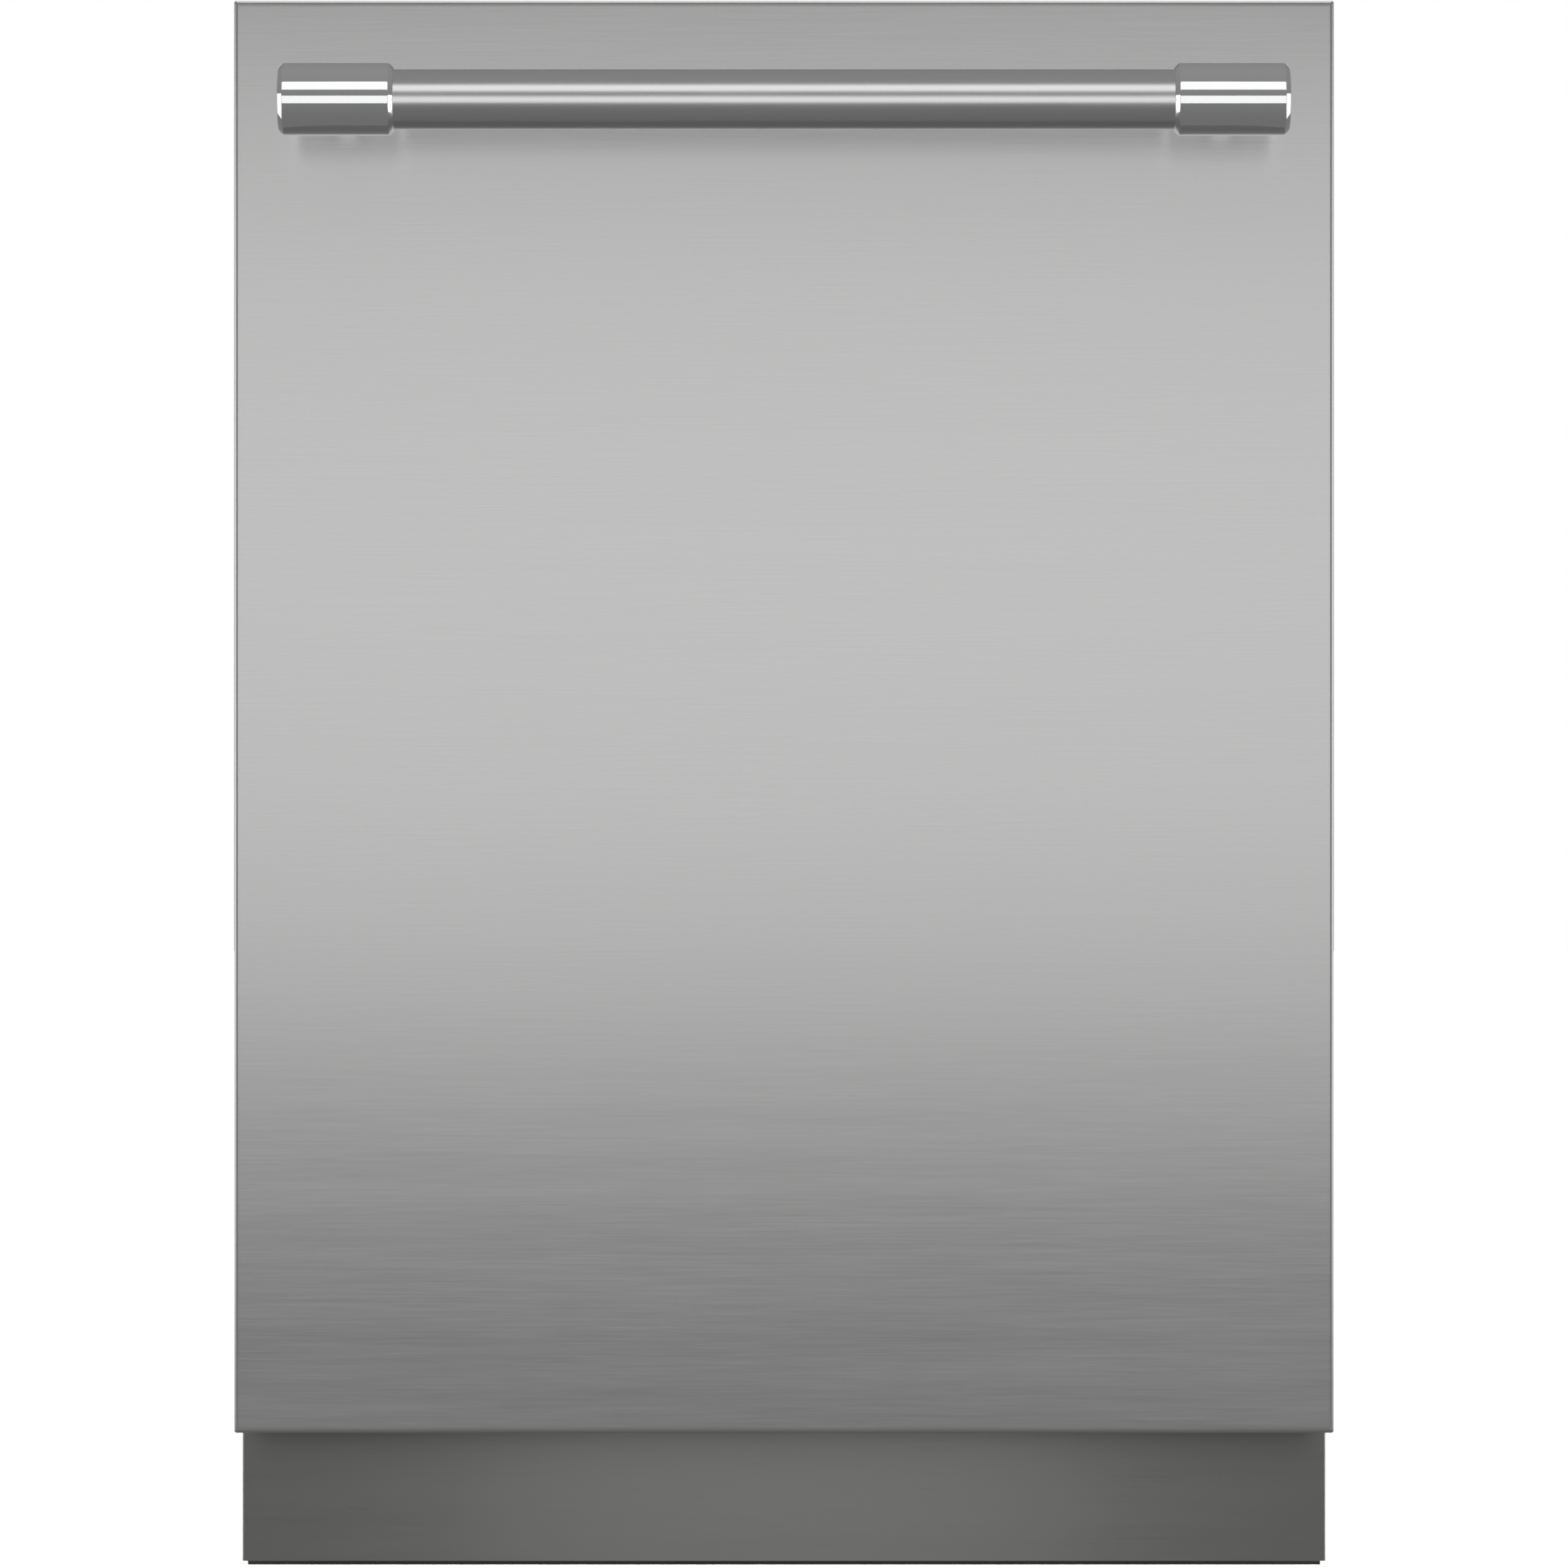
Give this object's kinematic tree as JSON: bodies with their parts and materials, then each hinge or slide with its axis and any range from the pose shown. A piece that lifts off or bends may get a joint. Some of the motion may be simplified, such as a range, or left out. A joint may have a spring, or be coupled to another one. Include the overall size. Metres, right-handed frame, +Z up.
{
  "type": "built in dishwasher",
  "caption": "Built-in dishwasher with a plain brushed steel door, a round bar handle with polished end caps, hidden top controls, pull-out racks and a recessed kick plate.",
  "frame": {"origin": "centre of the overall box in X and Y, on the floor under the feet", "axes": "+Z up, -Y out of the door's face towards the user, +X to the right as seen from the front"},
  "size_m": [0.598, 0.6812, 0.857],
  "materials": {
    "door_steel": "horizontally brushed stainless steel",
    "bar_steel": "finely turned stainless steel bar",
    "cap_chrome": "polished chrome",
    "kick_steel": "brushed stainless steel, in the door's shadow",
    "tub_steel": "satin stainless steel",
    "zinc_steel": "zinc-coated steel sheet",
    "hard_steel": "bright hardened steel",
    "rail_steel": "rolled stainless steel",
    "rack_nylon": "grey nylon coating over steel wire",
    "grey_plastic": "moulded grey polypropylene",
    "black_plastic": "fine-grained black plastic",
    "key_plastic": "satin grey key caps",
    "pale_plastic": "pale grey moulded plastic",
    "window_glass": "smoked clear plastic window",
    "board_green": "coated circuit board",
    "seal_rubber": "soft black rubber",
    "fibre_mat": "dark pressed fibre mat",
    "heater_metal": "heat-tinted steel tube"
  },
  "bodies": {
    "cabinet": {"tub": "tub_steel", "tub_back": "tub_steel", "tub_floor": "tub_steel", "tub_flange": "tub_steel", "tub_gasket": "seal_rubber", "side_panels": "zinc_steel", "back_panel": "zinc_steel", "insulation_jacket": "fibre_mat", "worktop_brackets": "zinc_steel", "base_pan": "black_plastic", "levelling_feet": "black_plastic", "kick_plate": "kick_steel", "kick_seal": "seal_rubber", "door_springs": "hard_steel", "sump": "black_plastic", "filter_plate": "tub_steel", "circulation_pump": "black_plastic", "drain_pump": "black_plastic", "inlet_valve": "pale_plastic", "drain_outlet": "black_plastic", "water_tank": "pale_plastic", "heater": "heater_metal", "junction_box": "zinc_steel", "feed_pipe": "grey_plastic", "outer_rails": "rail_steel", "latch_strike": "zinc_steel", "hinge_brackets": "zinc_steel", "hinge_pins": "hard_steel"},
    "door": {"door_panel": "door_steel", "door_insulation": "fibre_mat", "inner_door": "tub_steel", "bottom_seal": "seal_rubber", "control_fascia": "black_plastic", "control_board": "board_green", "display_window": "window_glass", "latch_body": "black_plastic", "handle_bar": "bar_steel", "handle_cap_left": "cap_chrome", "handle_cap_right": "cap_chrome", "hinge_arms": "zinc_steel", "door_screws": "hard_steel", "dispenser_body": "pale_plastic"},
    "power_key": {"button_power": "key_plastic"},
    "start_key": {"button_start": "key_plastic"},
    "program_key": {"button_program": "key_plastic"},
    "options_key": {"button_options": "key_plastic"},
    "hook": {"latch_hook": "zinc_steel"},
    "dispenser_door": {"dispenser_lid": "pale_plastic"},
    "rinse_cap": {"rinse_aid_cap": "pale_plastic"},
    "filter": {"filter_cup": "grey_plastic"},
    "lower_arm": {"lower_spray_arm": "grey_plastic"},
    "top_arm": {"top_spray_arm": "grey_plastic"},
    "middle_arm": {"middle_spray_arm": "grey_plastic"},
    "lower_basket": {"lower_rack": "rack_nylon"},
    "front_rollers": {"front_wheels": "grey_plastic"},
    "rear_rollers": {"rear_wheels": "grey_plastic"},
    "tine_row": {"fold_tines": "rack_nylon"},
    "upper_basket": {"upper_rack": "rack_nylon", "rack_manifold": "grey_plastic"},
    "left_shelf": {"cup_shelf_left": "rack_nylon"},
    "right_shelf": {"cup_shelf_right": "rack_nylon"},
    "runners": {"middle_runners": "rail_steel"},
    "tray": {"cutlery_tray": "grey_plastic"}
  },
  "joints": [
    {"name": "door_hinge", "type": "hinge", "parent": "cabinet", "child": "door", "pos_m": [0, -0.23935, 0.103], "axis": [1, 0, 0], "range_deg": [0, 90]},
    {"name": "power_press", "type": "slide", "parent": "door", "child": "power_key", "axis": [0, 0, -1], "range_m": [0, 0.0012], "stiffness_N_per_m": 900, "springref_m": -0.0005},
    {"name": "start_press", "type": "slide", "parent": "door", "child": "start_key", "axis": [0, 0, -1], "range_m": [0, 0.0012], "stiffness_N_per_m": 900, "springref_m": -0.0005},
    {"name": "program_press", "type": "slide", "parent": "door", "child": "program_key", "axis": [0, 0, -1], "range_m": [0, 0.0012], "stiffness_N_per_m": 900, "springref_m": -0.0005},
    {"name": "options_press", "type": "slide", "parent": "door", "child": "options_key", "axis": [0, 0, -1], "range_m": [0, 0.0012], "stiffness_N_per_m": 900, "springref_m": -0.0005},
    {"name": "hook_turn", "type": "hinge", "parent": "door", "child": "hook", "pos_m": [0, -0.21935, 0.822], "axis": [1, 0, 0], "range_deg": [0, 12], "stiffness_Nm_per_rad": 0.05, "springref_deg": -5.73},
    {"name": "dispenser_lid_slide", "type": "slide", "parent": "door", "child": "dispenser_door", "axis": [1, 0, 0], "range_m": [0, 0.058]},
    {"name": "rinse_cap_twist", "type": "hinge", "parent": "door", "child": "rinse_cap", "pos_m": [0.075, -0.20235, 0.43], "axis": [0, 1, 0], "range_deg": [0, 90]},
    {"name": "filter_twist", "type": "hinge", "parent": "cabinet", "child": "filter", "pos_m": [0.055, 0.05005, 0.1162], "axis": [0, 0, 1], "range_deg": [0, 90]},
    {"name": "lower_arm_spin", "type": "hinge", "parent": "cabinet", "child": "lower_arm", "pos_m": [0, 0.06505, 0.147], "axis": [0, 0, 1], "continuous": true},
    {"name": "top_arm_spin", "type": "hinge", "parent": "cabinet", "child": "top_arm", "pos_m": [0, 0.06505, 0.811], "axis": [0, 0, 1], "continuous": true},
    {"name": "lower_rack_slide", "type": "slide", "parent": "cabinet", "child": "lower_basket", "axis": [0, -1, 0], "range_m": [0, 0.45]},
    {"name": "front_wheel_roll", "type": "hinge", "parent": "lower_basket", "child": "front_rollers", "pos_m": [0, -0.09835, 0.1605], "axis": [1, 0, 0], "continuous": true},
    {"name": "rear_wheel_roll", "type": "hinge", "parent": "lower_basket", "child": "rear_rollers", "pos_m": [0, 0.23345, 0.1605], "axis": [1, 0, 0], "continuous": true},
    {"name": "tine_fold", "type": "hinge", "parent": "lower_basket", "child": "tine_row", "pos_m": [0.092, 0.06505, 0.1942], "axis": [0, 1, 0], "range_deg": [0, 80]},
    {"name": "upper_rack_slide", "type": "slide", "parent": "cabinet", "child": "upper_basket", "axis": [0, -1, 0], "range_m": [0, 0.46]},
    {"name": "runner_slide", "type": "slide", "parent": "cabinet", "child": "runners", "axis": [0, -1, 0], "range_m": [0, 0.23]},
    {"name": "middle_arm_spin", "type": "hinge", "parent": "upper_basket", "child": "middle_arm", "pos_m": [0, 0.06505, 0.469], "axis": [0, 0, 1], "continuous": true},
    {"name": "left_shelf_fold", "type": "hinge", "parent": "upper_basket", "child": "left_shelf", "pos_m": [-0.2338, 0.06505, 0.5535], "axis": [0, -1, 0], "range_deg": [0, 85]},
    {"name": "right_shelf_fold", "type": "hinge", "parent": "upper_basket", "child": "right_shelf", "pos_m": [0.2338, 0.06505, 0.5535], "axis": [0, 1, 0], "range_deg": [0, 85]},
    {"name": "cutlery_tray_slide", "type": "slide", "parent": "cabinet", "child": "tray", "axis": [0, -1, 0], "range_m": [0, 0.43]}
  ],
  "couplings": [
    {"joint": "lower_rack_slide", "follows": "door_hinge", "m_per_rad": 0.09},
    {"joint": "upper_rack_slide", "follows": "door_hinge", "m_per_rad": 0.29},
    {"joint": "runner_slide", "follows": "door_hinge", "m_per_rad": 0.145},
    {"joint": "cutlery_tray_slide", "follows": "door_hinge", "m_per_rad": 0.27}
  ]
}
